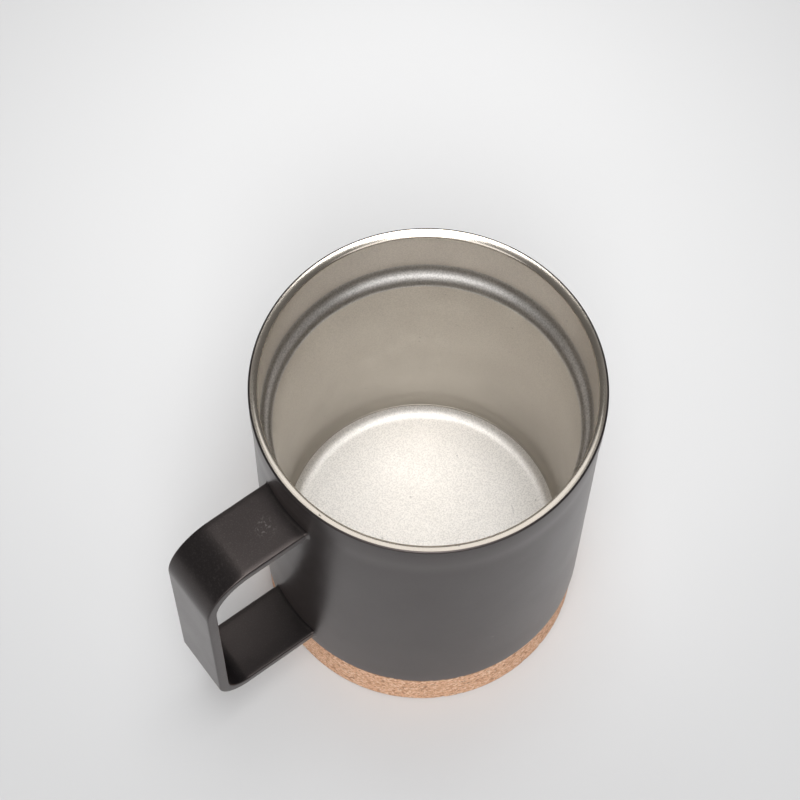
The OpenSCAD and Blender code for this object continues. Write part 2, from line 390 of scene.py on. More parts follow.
def make_coat(name, tone, gloss, grain_depth, scuff_share, wear_amount, spots):
    """A satin black coating on steel: grain with painted glints, clouding, dust, scuffs, nicks and marks in
    set places.
    """
    material, tree, shader, where = start_material(name)
    skin = use(tree, grain, Vector=where, Grain_size=0.36 * mm, Cloud_size=16 * mm)
    dust = use(tree, specks, Vector=where, Spacing=4.5 * mm, Size=0.24 * mm, Share=0.30)["Mask"]
    scuff = use(tree, scratches, Vector=where, Length=30 * mm, Width=2.4 * mm, Share=scuff_share)["Mask"]
    edge = place(tree, "Attribute", attribute_name="edge").outputs["Fac"]
    worn = use(tree, edge_wear, Vector=where, Edge=edge, Patch_size=1.6 * mm, Amount=wear_amount)["Mask"]
    chip = knocks(tree, where, spots)
    lighter = tuple(1.2 * part for part in tone)
    colour = blend(tree, skin["Cloud"], tone, lighter)
    # painted glints: the colour is lighter on the raised points of the spray grain
    painted_glint = ramp(tree, skin["Height"], 0.52, 0.66)
    colour = stain(tree, colour, painted_glint, 0.6, (0.026, 0.024, 0.024))
    colour = stain(tree, colour, scuff, 0.18, (0.09, 0.08, 0.078))
    colour = stain(tree, colour, dust, 0.5, (0.24, 0.22, 0.21))
    colour = stain(tree, colour, worn, 0.6, (0.34, 0.31, 0.29))
    colour = stain(tree, colour, chip, 0.45, (0.13, 0.12, 0.118))
    rough = ramp(tree, skin["Cloud"], 0.25, 0.75, gloss - 0.015, gloss + 0.02)
    tree.links.new(colour, shader.inputs["Base Color"])
    tree.links.new(rough, shader.inputs["Roughness"])
    tree.links.new(raise_surface(tree, skin["Height"], grain_depth), shader.inputs["Normal"])
    shader.inputs["IOR"].default_value = 1.56
    shader.inputs["Specular Tint"].default_value = (1.0, 0.85, 0.81, 1.0)
    shader.inputs["Sheen Weight"].default_value = 0.03
    shader.inputs["Sheen Roughness"].default_value = 0.5
    shader.inputs["Sheen Tint"].default_value = (1.0, 0.80, 0.76, 1.0)
    print("material:", name)
    return material


shell_knocks = (
    (15.5, cup_r, 65.6 * mm, 3.2 * mm),
    (6.3, cup_r, 23.6 * mm, 2.4 * mm),
    (78.0, cup_r, 41.0 * mm, 1.2 * mm),
)
strap_knocks = (
    (1.0, 48.5 * mm, arm_top_z, 3.4 * mm),
    (-3.0, grip_reach, 46.0 * mm, 2.6 * mm),
)
coat_tone = (0.0052, 0.0048, 0.0052)
shell_coat = make_coat("black_shell_coat", coat_tone, 0.31, 0.016 * mm, 0.06, 0.30, shell_knocks)
handle_coat = make_coat("black_handle_coat", coat_tone, 0.29, 0.016 * mm, 0.14, 0.24, strap_knocks)

# %% [markdown]
# ## Bare stainless steel
#
# The inside is one kind of steel with several finishes: satin on the wall, blasted on the floor,
# polished on the lip, and as rolled where nobody looks. Metal has no colour of its own under its shine,
# only a tint in its reflections, so each finish has its own warm grey besides its roughness and relief.
# The wall's grey is also made darker towards the bottom. Real steel doesn't change there: this stands in
# for the light that a deep cup loses, which the lamps below don't take away by themselves.


# %% Steel in its finishes
def make_steel(name, tint, rough, grain_size, grain_depth, ring_depth, grain_shade, mottle, scratch_share,
               spots=(), deep=1.0):
    """Bare stainless steel. Grain and ring sizes are in millimetres, grain_shade is the painted shade in the
    grain's hollows, and deep is the share of its brightness that painted shade leaves at the bottom of the
    cup."""
    material, tree, shader, where = start_material(name)
    skin = use(tree, grain, Vector=where, Grain_size=grain_size * mm, Cloud_size=9 * mm)
    ring = use(tree, turning, Vector=where, Pitch=0.22 * mm)["Height"]
    streak = use(tree, scratches, Vector=where, Length=24 * mm, Width=2.2 * mm, Share=scratch_share)["Mask"]
    pit = use(tree, specks, Vector=where, Spacing=4.5 * mm, Size=0.38 * mm, Share=0.35)["Mask"]
    darker = tuple(0.96 * part for part in tint)
    colour = blend(tree, skin["Cloud"], darker, tint)
    # painted shade: the grain's hollows are darkened towards black
    painted_hollow_shade = ramp(tree, skin["Height"], 0.38, 0.60, grain_shade, 0.0)
    colour = blend(tree, painted_hollow_shade, colour, (0.0, 0.0, 0.0))
    # painted shade: the wall's grey is darker towards the bottom of the cup
    if deep < 1:
        height = place(tree, "SeparateXYZ", {"Vector": where}).outputs["Z"]
        painted_depth_shade = ramp(tree, height, 22 * mm, 88 * mm, 1.0, 0.0)
        colour = blend(tree, painted_depth_shade, colour, tuple(deep * part for part in tint))
    if spots:
        colour = blend(tree, knocks(tree, where, spots), colour, (0.02, 0.015, 0.012))
    faint_streak = calculate(tree, "MULTIPLY", streak, 0.35)
    faint_pit = calculate(tree, "MULTIPLY", pit, 0.6)
    flaw = calculate(tree, "MAXIMUM", faint_streak, faint_pit)
    colour = blend(tree, flaw, colour, tuple(0.45 * part for part in tint))
    shine = ramp(tree, skin["Cloud"], 0.25, 0.75, rough - mottle, rough + mottle)
    relief = raise_surface(tree, skin["Height"], grain_depth * mm)
    relief = raise_surface(tree, ring, ring_depth * mm, relief)
    tree.links.new(colour, shader.inputs["Base Color"])
    tree.links.new(shine, shader.inputs["Roughness"])
    tree.links.new(relief, shader.inputs["Normal"])
    shader.inputs["Metallic"].default_value = 1.0
    print("material:", name)
    return material


steel_tint = (0.64, 0.59, 0.52)
paint_spur = ((15.6, 41.9 * mm, rim_z, 1.1 * mm),)
satin_steel = make_steel("satin_steel", steel_tint, 0.44, 0.38, 0.014, 0.0008, 0.14, 0.03, 0.15, deep=0.68)
# painted light: the collar is the wall's satin steel with a paler grey, and a little less rough
collar_steel_painted_light = make_steel("collar_steel_painted_light", (0.74, 0.685, 0.62), 0.40, 0.38, 0.014, 0.0008, 0.12, 0.03, 0.1)
floor_steel = make_steel("blasted_floor_steel", (0.98, 0.955, 0.92), 0.60, 0.40, 0.038, 0.0, 0.18, 0.02, 0.05)
band_steel = make_steel("blasted_band_steel", (0.67, 0.65, 0.63), 0.40, 0.42, 0.036, 0.0, 0.26, 0.02, 0.05)
polished_steel = make_steel("polished_steel", (0.70, 0.64, 0.565), 0.20, 0.4, 0.0012, 0.0015, 0.03, 0.03,
                            0.15, paint_spur)
mill_steel = make_steel("mill_steel", (0.56, 0.55, 0.54), 0.36, 0.15, 0.002, 0.0012, 0.05, 0.07, 0.3)

# %% [markdown]
# ## Cork
#
# The base is agglomerated cork: small chips pressed together with a binder, turned to size and sanded.
# Each chip keeps its own tone, from pale tan to brown, with darker bits of bark between them, and small
# holes where a chip has broken out. A Voronoi texture is made for this, because it divides space into
# cells like packed chips and gives each cell a random colour. The holes are real ones in the mesh, and
# the mesh tells the material where they are by a value named `pit`.

# %% Cork
chip_size = 0.6 * mm
cork, tree, shader, where = start_material("pressed_cork")
wander = place(tree, "TexNoise", {"Vector": where, "Scale": 1 / (0.9 * mm), "Detail": 2.0})
shifted = place(tree, "VectorMath", {0: wander.outputs["Color"], "Scale": 0.5 * mm}, operation="SCALE")
chip_space = place(tree, "VectorMath", {0: where, 1: shifted.outputs[0]}, operation="ADD").outputs[0]
chips = place(tree, "TexVoronoi", {"Vector": chip_space, "Scale": 1 / chip_size})
chip_inputs = {"Vector": chip_space, "Scale": 1 / chip_size}
chip_edge = place(tree, "TexVoronoi", chip_inputs, feature="DISTANCE_TO_EDGE")
chip_tone = place(tree, "SeparateColor", {"Color": chips.outputs["Color"]}).outputs["Red"]
tones = place(tree, "ValToRGB", {"Fac": chip_tone})
cork_tones = (
    (0.0, (0.42, 0.20, 0.11)),
    (0.15, (0.62, 0.34, 0.20)),
    (0.45, (0.76, 0.45, 0.285)),
    (0.75, (0.84, 0.54, 0.365)),
    (1.0, (0.93, 0.68, 0.50)),
)
while len(tones.color_ramp.elements) < len(cork_tones):
    tones.color_ramp.elements.new(0.5)
for stop, (place_on_ramp, tone) in zip(tones.color_ramp.elements, cork_tones):
    stop.position = place_on_ramp
    stop.color = (*tone, 1)
cell_grain = use(tree, grain, Vector=where, Grain_size=0.22 * mm, Cloud_size=6 * mm)
bark = use(tree, specks, Vector=where, Spacing=1.05 * mm, Size=0.33 * mm, Share=0.40)["Mask"]
binder = ramp(tree, chip_edge.outputs["Distance"], 0.0, 0.09, 1.0, 0.0)
pit = place(tree, "Attribute", attribute_name="pit").outputs["Fac"]
colour = stain(tree, tones.outputs["Color"], cell_grain["Height"], 0.25, (0.60, 0.35, 0.22))
colour = stain(tree, colour, binder, 0.42, (0.40, 0.19, 0.105))
colour = stain(tree, colour, bark, 0.55, (0.32, 0.16, 0.09))
# painted shade: the cork is darker where it is pitted
colour = stain(tree, colour, pit, 0.6, (0.22, 0.115, 0.07))
# painted shade: a ragged dark band along the cork's top edge, under the shell's rolled foot
up = place(tree, "SeparateXYZ", {"Vector": where}).outputs["Z"]
ragged_up = calculate(tree, "MULTIPLY_ADD", wander.outputs["Fac"], 0.7 * mm, up)
painted_shade_under_shell = ramp(tree, ragged_up, foot_z - 0.95 * mm, foot_z - 0.45 * mm)
colour = stain(tree, colour, painted_shade_under_shell, 0.8, (0.10, 0.05, 0.035))
chip_relief = calculate(tree, "MULTIPLY", cell_grain["Height"], 0.5)
chip_height = calculate(tree, "MULTIPLY_ADD", binder, -0.6, chip_relief)
tree.links.new(colour, shader.inputs["Base Color"])
tree.links.new(ramp(tree, chip_tone, 0.0, 1.0, 0.78, 0.92), shader.inputs["Roughness"])
tree.links.new(raise_surface(tree, chip_height, 0.09 * mm), shader.inputs["Normal"])
shader.inputs["Specular IOR Level"].default_value = 0.3
print("material:", cork.name)

# %% [markdown]
# ## What is hidden inside
#
# Nobody sees the glass bead that seals the pumping hole, the alloy pellet that soaks up stray gas, or
# the tape under the pan, but they are part of the mug, and someone who takes the model apart will look.
# They keep their engineering shapes, which are already right, and each gets a finish of its own.

# %% Glass solder, getter alloy and tape
solder_glass, tree, shader, where = start_material("solder_glass")
melt = use(tree, grain, Vector=where, Grain_size=0.5 * mm, Cloud_size=2.5 * mm)
bubbles = use(tree, specks, Vector=where, Spacing=0.8 * mm, Size=0.16 * mm, Share=0.5)["Mask"]
colour = blend(tree, melt["Cloud"], (0.10, 0.13, 0.11), (0.20, 0.25, 0.21))
tree.links.new(blend(tree, bubbles, colour, (0.32, 0.36, 0.32)), shader.inputs["Base Color"])
tree.links.new(ramp(tree, melt["Cloud"], 0.2, 0.8, 0.10, 0.24), shader.inputs["Roughness"])
tree.links.new(raise_surface(tree, melt["Height"], 0.01 * mm), shader.inputs["Normal"])
print("material:", solder_glass.name)

getter_alloy, tree, shader, where = start_material("getter_alloy")
sinter = use(tree, grain, Vector=where, Grain_size=0.12 * mm, Cloud_size=2 * mm)
pores = use(tree, specks, Vector=where, Spacing=0.5 * mm, Size=0.14 * mm, Share=0.6)["Mask"]
colour = blend(tree, sinter["Cloud"], (0.24, 0.23, 0.22), (0.36, 0.35, 0.34))
tree.links.new(blend(tree, pores, colour, (0.06, 0.06, 0.06)), shader.inputs["Base Color"])
tree.links.new(ramp(tree, sinter["Cloud"], 0.2, 0.8, 0.5, 0.7), shader.inputs["Roughness"])
tree.links.new(raise_surface(tree, sinter["Height"], 0.02 * mm), shader.inputs["Normal"])
shader.inputs["Metallic"].default_value = 0.8
print("material:", getter_alloy.name)

adhesive, tree, shader, where = start_material("foam_tape")
foam = use(tree, grain, Vector=where, Grain_size=0.18 * mm, Cloud_size=5 * mm)
cells_in_foam = use(tree, specks, Vector=where, Spacing=0.45 * mm, Size=0.16 * mm, Share=0.8)["Mask"]
colour = blend(tree, foam["Cloud"], (0.70, 0.66, 0.55), (0.80, 0.77, 0.68))
colour = stain(tree, colour, cells_in_foam, 0.5, (0.45, 0.41, 0.32))
tree.links.new(colour, shader.inputs["Base Color"])
tree.links.new(ramp(tree, foam["Cloud"], 0.2, 0.8, 0.55, 0.75), shader.inputs["Roughness"])
tree.links.new(raise_surface(tree, foam["Height"], 0.03 * mm), shader.inputs["Normal"])
print("material:", adhesive.name)

# %% [markdown]
# ## Helpers for meshes
#
# A lathe needs an outline: points given as radius and height. Straight stretches need only their ends,
# and a round stretch is an arc. The `turned` helper walks the outline round the axis and joins the rings
# with four-sided faces. Points on the axis fall together there, so they are merged at the end.


# %% Outlines and turned meshes
def arc(centre_r, centre_z, radius, start, end, steps=10):
    """Points (radius, height) along an arc between two angles in degrees."""
    points = []
    for i in range(steps + 1):
        angle = math.radians(start + (end - start) * i / steps)
        points.append((centre_r + radius * math.cos(angle), centre_z + radius * math.sin(angle)))
    return points


def line(start, end, steps):
    """Points along a straight stretch, evenly spaced."""
    return [tuple(a + (b - a) * i / steps for a, b in zip(start, end)) for i in range(steps + 1)]


def add_piece(name, vertices, faces, *materials, face_materials=None):
    """A new object from points and faces, with its faces turned outwards and its doubled points merged."""
    mesh = bpy.data.meshes.new(name)
    mesh.from_pydata(vertices, [], faces)
    if face_materials is not None:
        mesh.polygons.foreach_set("material_index", face_materials)
    cleaner = bmesh.new()
    cleaner.from_mesh(mesh)
    bmesh.ops.remove_doubles(cleaner, verts=cleaner.verts, dist=1e-7)
    bmesh.ops.recalc_face_normals(cleaner, faces=cleaner.faces)
    cleaner.to_mesh(mesh)
    cleaner.free()
    for material in materials:
        mesh.materials.append(material)
    piece = bpy.data.objects.new(name, mesh)
    bpy.context.scene.collection.objects.link(piece)
    return piece


def turned(name, stretches, *materials, steps=360, shape=None):
    """Turns an outline round the mug's axis. Each stretch is (points, number of its material)."""
    outline = []
    finish = []
    for points, number in stretches:
        for point in points:
            if not outline or math.dist(point, outline[-1]) > 1e-8:
                outline.append(point)
                finish.append(number)
    count = len(outline)
    vertices = []
    for k in range(steps):
        angle = 2 * math.pi * k / steps
        for r, z in outline:
            point = Vector((r * math.cos(angle), r * math.sin(angle), z))
            vertices.append(shape(point) if shape else point)
    faces = []
    face_materials = []
    for k in range(steps):
        here = k * count
        there = (k + 1) % steps * count
        for j in range(count):
            ahead = (j + 1) % count
            faces.append((here + j, here + ahead, there + ahead, there + j))
            face_materials.append(finish[ahead])
    return add_piece(name, vertices, faces, *materials, face_materials=face_materials)


# %% [markdown]
# Every piece ends in the same way: smooth shading with the sharp corners kept sharp, the engineering piece
# that it stands for hidden, and the body that it rides on. The shell and the strap also get the `edge`
# value for wear.


# %% Mark values on a mesh, and finish a piece
def mark(piece, name, value_at):
    """Stores a value at each corner point of the mesh, worked out from where the point is."""
    values = piece.data.attributes.new(name, "FLOAT", "POINT")
    values.data.foreach_set("value", [value_at(vertex.co) for vertex in piece.data.vertices])


def finish_piece(piece, slot, *stands_for, sharp=32):
    """Smooths a finished piece, hides the piece that it stands for, and mounts it."""
    piece.data.shade_smooth()
    piece.data.set_sharp_from_angle(angle=math.radians(sharp))
    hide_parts(*stands_for)
    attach(piece, "root")
    print(piece.name, "has", len(piece.data.polygons), "faces")


# %% [markdown]
# ## Outer shell
#
# A deep-drawn tube, rolled in a little at the foot and flared by a hair at the rim. The coating stops at
# the rim's inner edge, where the polished lip begins. The outside is drawn first, from the foot up, then
# the rim's small radius, and then the bare inside, which faces the vacuum.

# %% Build the outer shell
rim_edge_r = 0.45 * mm
foot_edge_r = 1.2 * mm
flare_h = 10.6 * mm
shell_in = rim_out - sheet
pan_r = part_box("outer_bottom")[1].x
foot_centre = (cup_r - foot_edge_r, foot_z + foot_edge_r)
flare_top = rim_z - 4 * mm
flare_turn = 2 * math.degrees(math.atan(flare / flare_h))
flare_r = flare_h / 2 / math.sin(math.radians(flare_turn))


def shell_flare(depth):
    """The two long arcs that carry the shell's side out to the rim."""
    out = arc(cup_r + flare_r, flare_top - flare_h, flare_r + depth, 180, 180 - flare_turn, 6)
    return out + arc(rim_out - flare_r, flare_top, flare_r - depth, -flare_turn, 0, 6)


shell_outside = (
    [(pan_r, foot_z)]
    + arc(*foot_centre, foot_edge_r, -90, 0, 12)
    + line((cup_r, foot_centre[1]), (cup_r, flare_top - flare_h), 20)
    + shell_flare(0)
    + arc(rim_out - rim_edge_r, rim_z - rim_edge_r, rim_edge_r, 0, 90, 8)
    + [(shell_in, rim_z)]
)
shell_inside = (
    [(shell_in, rim_z - sheet)]
    + list(reversed(shell_flare(sheet)))
    + [(cup_r - sheet, foot_centre[1])]
    + arc(*foot_centre, foot_edge_r - sheet, 0, -90, 8)
    + [(pan_r, foot_z + sheet)]
)
shell_faces = [(shell_outside, 0), (shell_inside, 1)]
outer_shell = turned("coated_shell", shell_faces, shell_coat, mill_steel, steps=480)


def shell_edge(point):
    """1 on the rim's outer corner, fading out just under a millimetre below it."""
    return max(0.0, 1 - (rim_z - point.z) / (0.9 * mm)) if point.z > rim_z - mm else 0.0


mark(outer_shell, "edge", shell_edge)
finish_piece(outer_shell, "shell_coat", "outer_shell")

# %% [markdown]
# ## Inner liner
#
# The inside wall is one sheet: a polished lip that is crowned inwards, a straight collar that a lid's
# gasket would seal against, a rolled shoulder that the lid would rest on, the wall, and a gentle tuck
# down to the seam with the floor. The shoulder is two equal arcs that meet halfway, so it needs only its
# height and its steepest lean. Lip, shoulder and tuck have a function each, which draws both faces of the
# sheet: at depth 0 for the inside, and at the sheet's thickness for the side that faces the vacuum.

# %% Outline of the liner
lip_slope = 12
lip_fall = 38
lip_r = 0.6 * mm
rim_weld_w = 0.3 * mm
weld_in = shell_in - rim_weld_w
shoulder_z = 90.5 * mm
shoulder_lean = 45
wall_r = 37.5 * mm
floor_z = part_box("inner_bottom")[0].z + sheet
seam_rise = 2.2 * mm
tuck_lean = 25
tuck_r = 11 * mm

slope = math.radians(lip_slope)
fall = math.radians(lip_fall)
lip_top_z = rim_z - rim_weld_w * math.tan(slope)
crown_r = (weld_in - collar_r - lip_r * (1 - math.sin(fall))) / (math.sin(fall) - math.sin(slope))
crown_centre = (weld_in + crown_r * math.sin(slope), lip_top_z - crown_r * math.cos(slope))
lip_z = crown_centre[1] + (crown_r - lip_r) * math.cos(fall)
shoulder_r = (collar_r - wall_r) / 2 / (1 - math.cos(math.radians(shoulder_lean)))
shoulder_half = shoulder_r * math.sin(math.radians(shoulder_lean))
tuck = math.radians(tuck_lean)
seam_z = floor_z + seam_rise
seam_r = wall_r - tuck_r * (1 - math.cos(tuck))


def lip_face(depth):
    """The lip's shallow crown, from the rim weld to where it has turned down into the collar."""
    crown = arc(*crown_centre, crown_r - depth, 90 + lip_slope, 90 + lip_fall, 12)
    return crown + arc(collar_r + lip_r, lip_z, lip_r - depth, 90 + lip_fall, 180, 10)


def shoulder_face(depth):
    """The rolled shoulder, from the collar's lower end to the wall."""
    high = shoulder_z + shoulder_half
    low = shoulder_z - shoulder_half
    upper = arc(collar_r - shoulder_r, high, shoulder_r + depth, 0, -shoulder_lean, 16)
    lower = arc(wall_r + shoulder_r, low, shoulder_r - depth, 180 - shoulder_lean, 180, 16)
    return upper + lower


def tuck_face(depth):
    """The tuck that takes the wall in to the seam with the floor."""
    return arc(wall_r - tuck_r, seam_z + tuck_r * math.sin(tuck), tuck_r + depth, 0, -tuck_lean, 14)


print("lip ends", round((rim_z - lip_z) / mm, 2), "mm under the rim")
print("shoulder radius", round(shoulder_r / mm, 2), "mm")

# %% Build the inner liner
collar_end = [shoulder_face(0)[0]]
inside_face = [(lip_face(0), 0), (collar_end, 4), (shoulder_face(0), 3), (tuck_face(0), 1)]
vacuum_side = lip_face(sheet) + shoulder_face(sheet) + tuck_face(sheet)
vacuum_face = [(list(reversed(vacuum_side)), 2)]
liner_steels = (polished_steel, satin_steel, mill_steel, band_steel, collar_steel_painted_light)
inner_liner = turned("steel_liner", inside_face + vacuum_face, *liner_steels, steps=480)
finish_piece(inner_liner, "satin_steel", "inner_liner", sharp=40)

# %% [markdown]
# ## Floor of the cup
#
# A shallow pan of the same sheet closes the liner. It was blasted before welding, so it is grainy and
# pale. Its corner carries on from the wall's tuck at the same lean, so wall and floor look like one
# rounded corner with a fine seam across it.

# %% Build the floor pan
floor_corner_r = seam_rise / (1 - math.sin(tuck))
floor_flat = seam_r - floor_corner_r * math.cos(tuck)


def floor_face(depth):
    """The floor's corner and its flat, from the seam to the axis."""
    corner = arc(floor_flat, floor_z + floor_corner_r, floor_corner_r + depth, -tuck_lean, -90, 16)
    return corner + line((floor_flat, floor_z - depth), (0, floor_z - depth), 24)[1:]


inner_bottom = turned("floor_pan", [(floor_face(0), 0), (list(reversed(floor_face(sheet))), 1)],
                      floor_steel, mill_steel, steps=360)
finish_piece(inner_bottom, "blasted_steel", "inner_bottom", sharp=40)

# %% [markdown]
# ## Weld beads of the cup
#
# Two ring seams are made by laser while the cup spins: one between wall and floor, and one round the rim
# that closes the vacuum. A bead like that is nearly even, with a faint ripple where each pulse froze.
# A small wave in the ring's thickness is enough to break its highlight up.

# %% Build the ring seams
bead_r = sheet / 2 + 0.1 * mm
bead_centre = (seam_r + sheet / 2 * math.cos(tuck), seam_z - sheet / 2 * math.sin(tuck))


def floor_ripple(point):
    """Moves a point of the bead in or out of its centre by the pulse of the laser."""
    angle = math.atan2(point.y, point.x)
    centre = Vector((bead_centre[0] * math.cos(angle), bead_centre[0] * math.sin(angle), bead_centre[1]))
    pulse = 0.006 * mm * math.sin(260 * angle) + 0.008 * mm * noise.noise(point * 900)
    return centre + (point - centre) * (1 + pulse / bead_r)


bead_outline = arc(*bead_centre, bead_r, 0, 360, 16)[:-1]
floor_weld = turned("floor_seam", [(bead_outline, 0)], satin_steel, steps=1560, shape=floor_ripple)
finish_piece(floor_weld, "satin_steel", "floor_weld", sharp=80)

weld_low_z = lip_top_z - sheet * math.cos(slope)
rim_outline = (
    [(weld_in + sheet * math.sin(slope), weld_low_z), (shell_in, weld_low_z)]
    + line((shell_in, rim_z), (weld_in, lip_top_z), 3)
)
rim_weld = turned("rim_seam", [(rim_outline, 0)], polished_steel, steps=480)
finish_piece(rim_weld, "polished_steel", "rim_weld", sharp=50)

# %% [markdown]
# ## Handle
#
# The handle is one flat steel strap, bent twice and cut to the wall's curve at both ends. The upper bend
# is wide and the lower one tighter. The strap's centre line is three straight lines that meet at two
# corners, and each corner is then rounded: the straight part stops short of it by the bend's radius
# times the tangent of half the turn.


# %% Centre line of the strap
def rounded_path(corners, radii, gap):
    """Stations (x, z, heading) along straight lines whose inner corners are rounded by the radii."""
    stations = []
    at = Vector(corners[0])
    for i, radius in enumerate(radii):
        corner = Vector(corners[i + 1])
        before = (corner - Vector(corners[i])).normalized()
        after = (Vector(corners[i + 2]) - corner).normalized()
        heading = math.atan2(before.y, before.x)
        turn = before.angle_signed(after)
        stop = corner - before * radius * math.tan(abs(turn) / 2)
        steps = max(2, round((stop - at).length / gap))
        stations += [(*at.lerp(stop, k / steps), heading) for k in range(steps)]
        side = Vector((before.y, -before.x))
        centre = stop + side * radius
        bend_steps = 24
        for k in range(bend_steps + 1):
            angle = -abs(turn) * k / bend_steps
            arm = Vector((-side.x, -side.y)) * radius
            turned_arm = Vector((arm.x * math.cos(angle) - arm.y * math.sin(angle),
                                 arm.x * math.sin(angle) + arm.y * math.cos(angle)))
            stations.append((*(centre + turned_arm), heading + angle))
        at = centre + turned_arm
    last = Vector(corners[-1])
    heading = stations[-1][2]
    steps = max(2, round((last - at).length / gap))
    stations += [(*at.lerp(last, k / steps), heading) for k in range(1, steps + 1)]
    return stations


half_t = strap_t / 2
upper_z = arm_top_z - half_t
low_z = arm_low_z - half_t
grip_x = grip_reach - half_t
wall_x = cup_r - 2 * mm
strap_corners = [(wall_x, upper_z), (grip_x, upper_z), (grip_x, low_z), (wall_x, low_z)]
strap_path = rounded_path(strap_corners, (bend_top_r - half_t, bend_low_r - half_t), 2 * mm)
print("strap stations:", len(strap_path))

# %% [markdown]
# The strap's section is a rectangle with its long edges eased. It is carried along the stations, one
# ring of points at each. The first and the last ring are pushed along the strap until they meet the
# wall, which gives the saddle-shaped ends that a real strap is milled to.


# %% Build the strap
def strap_section(half_thick, half_wide, edge, flats=14):
    """Points (through, across) round the strap's section, with its four long edges rounded."""
    points = []
    corners = ((1, 1, 0), (-1, 1, 90), (-1, -1, 180), (1, -1, 270))
    for through, across, start in corners:
        points += arc(through * (half_thick - edge), across * (half_wide - edge), edge, start, start + 90, 6)
        if through > 0 and across > 0:
            points += line(points[-1], (edge - half_thick, half_wide), 3)[1:-1]
        elif through < 0 and across > 0:
            points += line(points[-1], (-half_thick, edge - half_wide), flats)[1:-1]
        elif through < 0:
            points += line(points[-1], (half_thick - edge, -half_wide), 3)[1:-1]
        else:
            points += line(points[-1], (half_thick, half_wide - edge), flats)[1:-1]
    return points


strap_edge_r = 0.45 * mm
section = strap_section(half_t, strap_w / 2, strap_edge_r)
strap_points = []
for number, (x, z, heading) in enumerate(strap_path):
    outwards = Vector((-math.sin(heading), 0, math.cos(heading)))
    onwards = Vector((math.cos(heading), 0, math.sin(heading)))
    for through, across in section:
        point = Vector((x, across, z)) + outwards * through
        if number in (0, len(strap_path) - 1):
            reach = math.sqrt(cup_r ** 2 - across ** 2) - point.x
            point += onwards * (reach / onwards.x)
        strap_points.append(point)
ring = len(section)
strap_faces = []
for i in range(len(strap_path) - 1):
    for j in range(ring):
        k = (j + 1) % ring
        strap_faces.append((i * ring + j, i * ring + k, (i + 1) * ring + k, (i + 1) * ring + j))
strap_faces.append(tuple(range(ring)))
strap_faces.append(tuple(range((len(strap_path) - 1) * ring, len(strap_path) * ring)))
strap = add_piece("bent_strap", strap_points, strap_faces, handle_coat)


def strap_edge(point):
    """1 on the strap's four long edges, fading out 0.7 mm in from its sides."""
    return max(0.0, 1 - (strap_w / 2 - abs(point.y)) / (0.7 * mm))


mark(strap, "edge", strap_edge)
finish_piece(strap, "handle_coat", "handle_strap", sharp=40)

# %% [markdown]
# ## Weld beads of the handle
#
# Each arm is welded to the wall all round. Under the coating the bead shows as a small hollow fillet that
# catches one thin line of light. It is made by walking round the strap's section and, at each step,
# drawing a quarter circle from the wall to the strap. A little noise in its size keeps it hand-made.

# %% Build the handle's weld beads
weld_leg = 0.8 * mm
weld_steps = 7
weld_overlap = 0.1 * mm
weld_sink = 0.15 * mm


def fillet_ring(arm_z):
    """Points of a hollow fillet round an arm whose middle meets the wall at height arm_z."""
    points = []
    outline = strap_section(half_t, strap_w / 2, strap_edge_r, 40)
    for j, (through, across) in enumerate(outline):
        nxt = Vector(outline[(j + 1) % len(outline)])
        prv = Vector(outline[j - 1])
        tangent = (nxt - prv).normalized()
        normal = Vector((tangent.y, -tangent.x))
        wobble = 1 + 0.16 * noise.noise(Vector((across * 700, through * 700, arm_z * 300)))
        leg = weld_leg * wobble
        profile = [(leg * (1 - math.sin(a)), leg * (1 - math.cos(a)))
                   for a in (math.pi / 2 * k / weld_steps for k in range(weld_steps + 1))]
        profile += [(-weld_overlap, leg), (-weld_overlap, -weld_sink), (leg, -weld_sink)]
        for out, off in profile:
            y = across + normal.y * out
            z = arm_z + through + normal.x * out
            x = math.sqrt(cup_r ** 2 - y ** 2) + off
            points.append(Vector((x, y, z)))
    return points, len(outline)


def weld_bead(name, node, arm_z):
    """One weld bead round an arm's end."""
    points, around = fillet_ring(arm_z)
    deep = len(points) // around
    faces = []
    for j in range(around):
        nxt = (j + 1) % around
        for k in range(deep):
            m = (k + 1) % deep
            faces.append((j * deep + k, j * deep + m, nxt * deep + m, nxt * deep + k))
    bead = add_piece(name, points, faces, handle_coat)
    finish_piece(bead, "handle_coat", node, sharp=60)


weld_bead("upper_weld_bead", "upper_handle_weld", upper_z)
weld_bead("lower_weld_bead", "lower_handle_weld", low_z)

# %% [markdown]
# ## Cork base
#
# Cork never has a clean face. Chips break out as it is turned, which leaves small pits, mostly along the
# top edge. The mesh is fine enough, about a third of a millimetre, to carry real pits: a
# point near the middle of some Voronoi cells is pushed into the cork, and its depth is stored for the
# material to darken. Points only ever move inwards, so the block keeps its size and stands flat.


# %% Pits in the cork
pit_spacing = 2.2 * mm
pit_size = 0.36
pit_depth = 0.30 * mm
pit_share = 0.50
top_pit_share = 0.80
cork_top_z = foot_z
cork_edge_r = 1 * mm
cork_lip_r = 0.3 * mm
underside = 0.3 * mm


def pit_at(point):
    """How deep the cork is broken out at a point, from 0 to 1."""
    distances, centres = noise.voronoi(point / pit_spacing)
    choice = noise.cell(centres[0] * 7.3)
    ragged = noise.noise(point * 2600) * 0.12
    depth = max(0.0, 1 - (distances[0] + ragged) / pit_size)
    kept = pit_share if point.z < cork_top_z - 1.2 * mm else top_pit_share
    return min(1.0, 2 * depth) if choice < 2 * kept - 1 else 0.0


def chew(point):
    """Moves a surface point of the cork into the block where a chip is missing."""
    depth = pit_at(point) * pit_depth
    radius = math.hypot(point.x, point.y)
    swell = 0.03 * mm * (noise.noise(point * 700) - 1)
    if radius > cork_r - cork_edge_r and point.z > underside:
        inward = (depth - swell) / radius
        return Vector((point.x * (1 - inward), point.y * (1 - inward), point.z))
    if point.z < underside:
        return Vector((point.x, point.y, point.z + depth))
    return point


